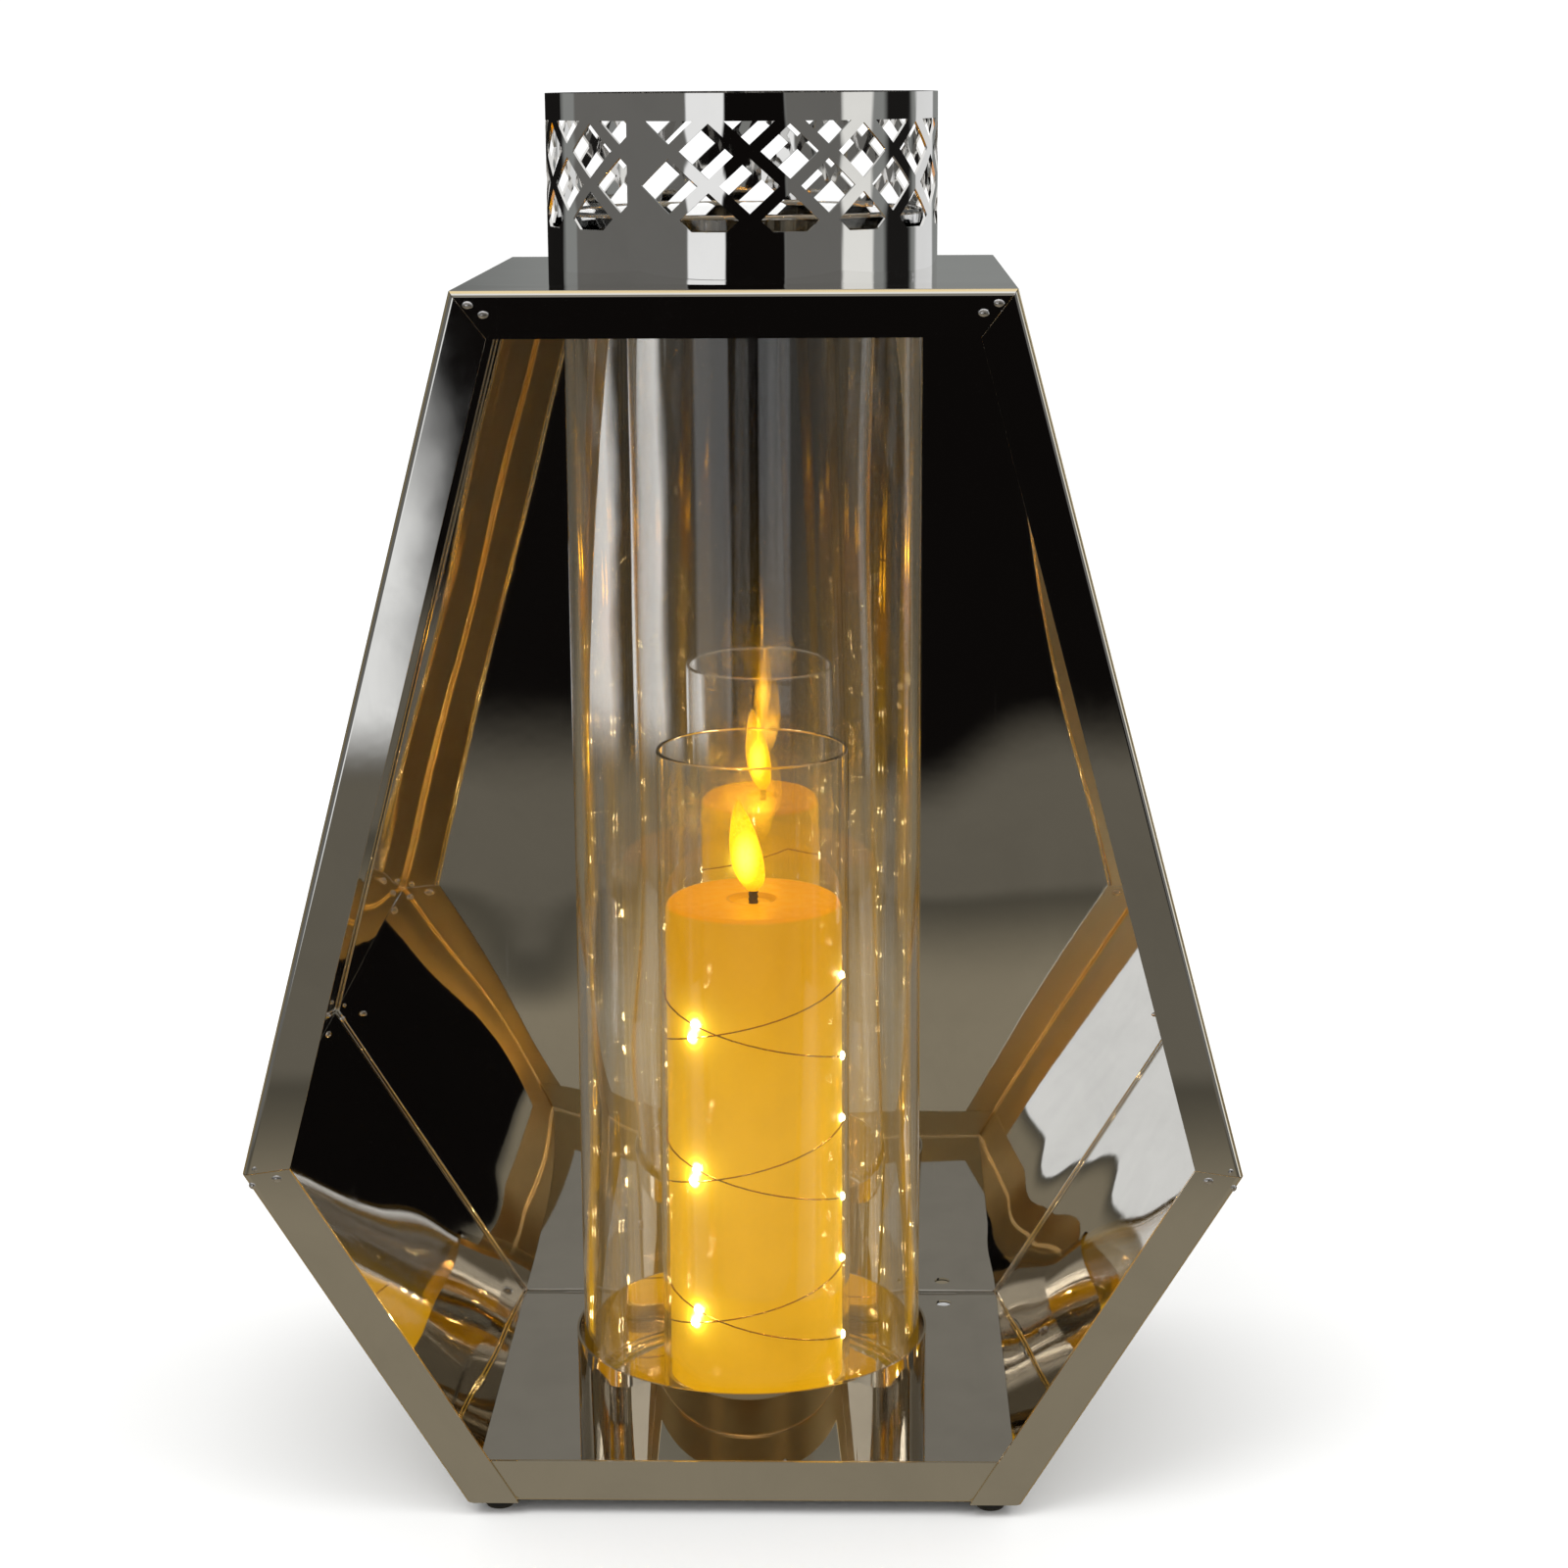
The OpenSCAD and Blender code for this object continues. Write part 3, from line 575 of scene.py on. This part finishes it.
def flame(mat):
    """A thin lit shell, flattened front to back, that leans left to a drawn-out tip."""
    low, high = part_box("flame_bulb")
    c = candle_centre()
    foot, tip = low.z, high.z
    length = tip - foot
    # share of the length, left edge and right edge of the flame in mm from the candle's middle
    outline = [(0.0, -1.0, 1.0), (0.03, -2.2, 1.9), (0.08, -3.2, 2.9), (0.16, -4.5, 3.2),
               (0.28, -5.6, 3.0), (0.42, -6.2, 2.4), (0.56, -6.3, 1.4), (0.70, -6.0, 0.2),
               (0.82, -5.6, -1.2), (0.92, -5.0, -2.5), (0.98, -4.4, -3.3), (1.0, -4.0, -3.7)]

    def edges(s):
        """The outline's left and right edge at share s, on straight lines between its points."""
        for (s0, *a), (s1, *b) in zip(outline, outline[1:]):
            if s <= s1:
                t = (s - s0) / (s1 - s0)
                return [p + (q - p) * t for p, q in zip(a, b)]
        return outline[-1][1:]

    def shell(shrink, steps=56, around=40):
        """Rings of the flame, drawn in by shrink millimetres; near shares are averaged to round it."""
        rings = []
        for i in range(steps + 1):
            s = 0.5 - 0.5 * math.cos(math.pi * i / steps)
            near = [edges(min(max(s + d, 0), 1)) for d in (-0.03, 0, 0.03)]
            left, right = (sum(e[j] for e in near) / 3 for j in (0, 1))
            mid, half = (left + right) / 2, max((right - left) / 2 - shrink, 0.12)
            z = foot + length * s + shrink * MM * (1 - 2 * s)
            turns = [math.tau * k / around for k in range(around)]
            rings.append([Vector((c.x + (mid + half * math.cos(a)) * MM,
                                  c.y + half * DEEP_SHARE * math.sin(a) * MM, z)) for a in turns])
        return rings

    outer, inner = shell(0), shell(0.55)
    verts, faces = closed_loft(outer)
    more_verts, more_faces = closed_loft(inner)
    start = len(verts)
    verts += more_verts
    faces += [tuple(v + start for v in reversed(f)) for f in more_faces]
    piece = new_piece("flame_shell", verts, faces, mat)
    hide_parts("flame_bulb")
    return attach(piece, "candle")


def braided_wick(mat):
    """A wick of three twisted strands."""
    low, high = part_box("wick")
    c = candle_centre()
    r = (high.x - low.x) / 2
    rings = []
    for i in range(41):
        t = i / 40
        z = low.z + (high.z - low.z) * t
        ring = []
        for k in range(30):
            a = math.tau * k / 30
            ridge = 1 + 0.1 * math.sin(3 * (a + t * 9)) + 0.05 * noise.noise(Vector((a * 3, t * 30, 1)))
            out = r * 0.88 * ridge
            ring.append(Vector((c.x + out * math.cos(a), c.y + out * math.sin(a), z)))
        rings.append(ring)
    verts, faces = closed_loft(rings)
    piece = new_piece("braided_wick", verts, faces, mat)
    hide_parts("wick")
    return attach(piece, "candle")


def resin_drops(centres, mat):
    """The light beads: a clear drop on the wire over each lamp, longer along the wire."""
    c = candle_centre()

    def place(i, p, d):
        out = Vector((p.x - c.x, p.y - c.y, 0)).normalized()
        along = Vector((0, 0, 1)).cross(out)
        along = (along + Vector((0, 0, 0.26 if i % 2 else -0.26))).normalized()
        side = out.cross(along)
        lump = 1 - 0.12 * abs(noise.noise(d * 1.7 + Vector((i * 3.3, 0, 0))))
        slim = 1 - 0.25 * d.x ** 2
        q = along * d.x * 1.5 + out * d.y * slim * 0.70 + side * d.z * slim * 1.05
        return p + q * lump * MM

    verts, faces = balls(centres, place)
    piece = new_piece("resin_drops", verts, faces, mat)
    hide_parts("light_beads")
    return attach(piece, "candle")


def weld_spots(mat):
    """Small ground-down weld beads at the mitres and at the foot of the collar and ring."""
    half = 1.09 * MM

    def place(i, p, d):
        lump = 1 - 0.3 * abs(noise.noise(d * 1.3 + Vector((i * 5.1, 2, 0))))
        at_mitre = abs(p.y) > 0.065 and abs(p.x) < 0.115
        wide = Vector((d.x * 1.7 * lump, d.y, d.z * 1.2 * lump)) if at_mitre else d * lump
        return p + wide * half

    verts, faces = balls(clumps("weld_beads"), place)
    piece = new_piece("weld_spots", verts, faces, mat)
    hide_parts("weld_beads")
    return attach(piece, "lantern")


# ---------------------------------------------------------------- stage: floor, room and lights

# The plain studio that the polished steel mirrors: a few broad soft lights and flags, as direction
# ranges from the lantern in degrees. Each is a name, its azimuths (0 = towards the viewer, + = right),
# its elevations, the softness of its edges and its colour. None stands for a thing in the photograph.
CARDS = [
    ("overhead_card", -40, 40, 10, 45, 4, rgb(135, 131, 122)),
    ("left_grey_card", -110, -30, -30, 10, 1.5, rgb(105, 104, 101)),
    ("right_grey_card", 26, 62, -30, 10, 1.5, rgb(105, 104, 101)),
    ("front_flag", -30, 26, -40, 9, 0.8, rgb(14, 12, 11)),
    ("left_softbox", -30, -8, -12, 3, 0.8, rgb(244, 245, 245)),
    ("right_softbox", 62, 84, -12, 10, 1.5, rgb(236, 236, 232)),
    ("low_card", -80, 80, -60, -12, 0.8, rgb(102, 97, 86)),
    ("right_flag", 94, 118, -40, 10, 3.0, rgb(28, 27, 26)),
    ("back_softbox", 124, 152, -22, 12, 2.5, rgb(226, 227, 227)),
    ("back_flag", -172, -126, -40, 10, 3.0, rgb(24, 23, 22)),
]
# The warm grey sheet that the steel sees under the lantern, in metres: where its near part starts to
# darken, its front and back edges, and half its width. It glows, its lit tones painted on; its tones and
# front edge follow the table in the photograph.
SHEET_NEAR, SHEET_FRONT, SHEET_BACK, SHEET_HALF = -0.27, -0.42, 0.5, 0.7
SHEET_BLUR = 0.015
SHEET_FAR_TONE, SHEET_NEAR_TONE = rgb(80, 76, 66), rgb(137, 128, 109)
FLOOR_HALF = 9
WHITE = 1.12


def within(tree, value, low, high, feather):
    """1 where value is between low and high, else 0, with edges that fade over twice feather."""
    return calc(tree, "MULTIPLY", span(tree, value, low - feather, low + feather),
                span(tree, value, high - feather, high + feather, 1, 0))


def stage():
    """A pale floor, which the steel sees as a plain warm grey sheet that glows with a painted lit tone,
    with the studio beyond its edge.
    """
    verts = [(x * FLOOR_HALF, y * FLOOR_HALF, 0) for x, y in ((-1, -1), (1, -1), (1, 1), (-1, 1))]
    mat, tree, shader = material("floor")
    at = own_coordinate(tree)
    x, y, _ = add(tree, "ShaderNodeSeparateXYZ", {0: at}).outputs
    cloud = texture(tree, at, 3, 3.0)
    pale = blend_colour(tree, cloud, rgb(245, 245, 244), rgb(250, 250, 249))
    feed(tree, shader, Base_Color=pale, Roughness=0.9)
    shader.inputs["Specular IOR Level"].default_value = 0.1
    # Painted light: the sheet's lit tone glows as emission, darker towards its front edge.
    near = span(tree, y, SHEET_FRONT, SHEET_NEAR)
    sheet = blend_colour(tree, near, SHEET_FAR_TONE, SHEET_NEAR_TONE)
    sheet = add(tree, "ShaderNodeEmission", {0: sheet, 1: 1.0}).outputs[0]
    gap = add(tree, "ShaderNodeBsdfTransparent").outputs[0]
    on_sheet = calc(tree, "MULTIPLY", within(tree, y, SHEET_FRONT, SHEET_BACK, SHEET_BLUR),
                    within(tree, x, -SHEET_HALF, SHEET_HALF, SHEET_BLUR))
    seen = add(tree, "ShaderNodeMixShader", {0: on_sheet, 1: gap, 2: sheet}).outputs[0]
    parts = {0: after_mirrors(tree, 0), 1: shader.outputs[0], 2: seen}
    both = add(tree, "ShaderNodeMixShader", parts).outputs[0]
    out = next(n for n in tree.nodes if n.type == "OUTPUT_MATERIAL")
    tree.links.new(both, out.inputs[0])
    floor = new_piece("floor", verts, [(0, 1, 2, 3)], mat)


def studio():
    """White for the camera and for soft light; the steel mirrors a dim studio with a few broad cards."""
    world = bpy.data.worlds.new("studio")
    scene.world = world
    world.use_nodes = True
    world.cycles.sampling_method = "NONE"
    tree = world.node_tree
    tree.nodes.clear()
    direction = add(tree, "ShaderNodeTexCoord").outputs["Generated"]
    x, y, z = add(tree, "ShaderNodeSeparateXYZ", {0: direction}).outputs
    azimuth = calc(tree, "DEGREES", calc(tree, "ARCTAN2", x, calc(tree, "MULTIPLY", y, -1)))
    elevation = calc(tree, "DEGREES", calc(tree, "ARCSINE", z))
    sway = texture(tree, direction, 26, 2.0)
    azimuth = calc(tree, "ADD", azimuth, span(tree, sway, 0.2, 0.8, -0.45, 0.45, False))
    sky = span(tree, elevation, 22, 50)
    colour = blend_colour(tree, sky, rgb(136, 138, 136), rgb(244, 244, 242))
    for _, a0, a1, e0, e1, feather, tone in CARDS:
        inside = calc(tree, "MULTIPLY", within(tree, azimuth, a0, a1, feather),
                      within(tree, elevation, e0, e1, feather))
        colour = blend_colour(tree, inside, colour, tone)
    colour = blend_colour(tree, after_mirrors(tree, 0), (WHITE, WHITE, WHITE, 1), colour)
    light = add(tree, "ShaderNodeBackground", {0: colour, 1: 1.0}).outputs[0]
    add(tree, "ShaderNodeOutputWorld", {0: light})


AIM_AT = Vector((0, 0, 0.15))


def soft_light(name, at, size, watts):
    """A large soft lamp aimed at the lantern, which the steel doesn't mirror."""
    data = bpy.data.lights.new(name, "AREA")
    data.shape, data.size, data.energy = "DISK", size, watts
    lamp_object = bpy.data.objects.new(name, data)
    lamp_object.location = at
    aim = AIM_AT - Vector(at)
    lamp_object.rotation_euler = aim.to_track_quat("-Z", "Y").to_euler()
    lamp_object.visible_glossy = False
    scene.collection.objects.link(lamp_object)


# ---------------------------------------------------------------- build

make_camera()
scene.view_settings.view_transform = "Standard"
scene.cycles.max_bounces = 24
scene.cycles.glossy_bounces = 12
scene.cycles.transmission_bounces = 20
scene.cycles.sample_clamp_indirect = 50
stage()
studio()
soft_light("key_light", (-1.2, -1.4, 2.4), 1.6, 20)
soft_light("fill_light", (1.6, -0.6, 2.0), 1.6, 10)

back_low, back_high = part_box("back_panel")
sheet = back_high.y - back_low.y
steel = polished_steel("polished_steel", lip_back=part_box("top_plate")[0].y + sheet)
base_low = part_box("base_plate")[0]
base_steel = polished_steel("base_steel", wave=0.0003, lip_back=base_low.y + sheet,
                            underside=base_low.z + sheet / 4)
for name in ("lower_left_panel", "lower_right_panel", "upper_left_panel", "upper_right_panel", "top_plate"):
    paint(nodes[name], steel)
paint(nodes["base_plate"], base_steel)
paint(nodes["collar"], polished_steel("polished_strip", (0.84, 0.83, 0.82), 0.00012))
# The ring's warm brown tint is painted reflection of the candlelit case.
paint(nodes["tube_ring"], polished_steel("ring_steel", (0.62, 0.54, 0.42), 0.0001, 0.08))
mirror_back(polished_steel("mirror_sheet", (0.80, 0.79, 0.77), 0.00002, 0.02))
weld_spots(weld_metal())
black_rubber = rubber()
for name in nodes:
    if name.startswith("foot_"):
        paint(nodes[name], black_rubber)

# Both clear parts carry a faint painted glow of candlelight low down.
paint(nodes["glass_tube"], clear("tube_glass", 1.5, (1, 1, 1, 1), 0.05, 0.016, 0.26))
paint(nodes["candle_cup"], clear("cup_acrylic", 1.42, (1, 1, 1, 1), 0.06, 0.008, 0.19))
bead_centres = clumps("light_beads")
flame_low, flame_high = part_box("flame_bulb")
flame_at = (flame_low + flame_high) / 2
wax_column(wax(bead_centres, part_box("wax_pillar")[1].z, Vector((flame_at.x, flame_at.y, flame_low.z))))
heart = Vector((candle_centre().x - 1.9 * MM, candle_centre().y, flame_low.z + 9.5 * MM))
flame(flame_skin(heart, flame_low.z, flame_high.z))
braided_wick(moulded("wick_fibre", rgb(70, 40, 18), 0.7, 2500))
resin_drops(bead_centres, lamp("bead_light", (1.0, 0.72, 0.32, 1), 130.0))
paint(nodes["light_wire"], plated("wire_enamel", (0.62, 0.36, 0.10, 1)))
paint(nodes["flame_led"], lamp("led_lens", rgb(255, 236, 150), 4.0))

plastics = {
    "battery_case": moulded("ivory_case", rgb(228, 220, 198)),
    "battery_door": moulded("ivory_door", rgb(224, 216, 194)),
    "circuit_board": moulded("board_mask", rgb(20, 92, 52), 0.3),
    "driver_chip": moulded("chip_epoxy", rgb(24, 24, 26), 0.5),
    "switch_body": moulded("switch_black", rgb(26, 26, 28), 0.5),
    "switch_knob": moulded("knob_black", rgb(30, 30, 32), 0.5),
}
metals = {
    "capacitor": plated("capacitor_sleeve", (0.10, 0.11, 0.13, 1), 0.3),
    "battery_left": plated("cell_sleeve_left", (0.34, 0.36, 0.40, 1), 0.3),
    "battery_right": plated("cell_sleeve_right", (0.34, 0.36, 0.40, 1), 0.3),
    "battery_spring": plated("spring_nickel", (0.76, 0.75, 0.70, 1)),
    "battery_contact": plated("contact_nickel", (0.76, 0.75, 0.70, 1)),
    "door_contact": plated("door_nickel", (0.76, 0.75, 0.70, 1)),
    "flame_leads": plated("lead_tin", (0.72, 0.72, 0.70, 1)),
}
for name, mat in {**plastics, **metals}.items():
    paint(nodes[name], mat)
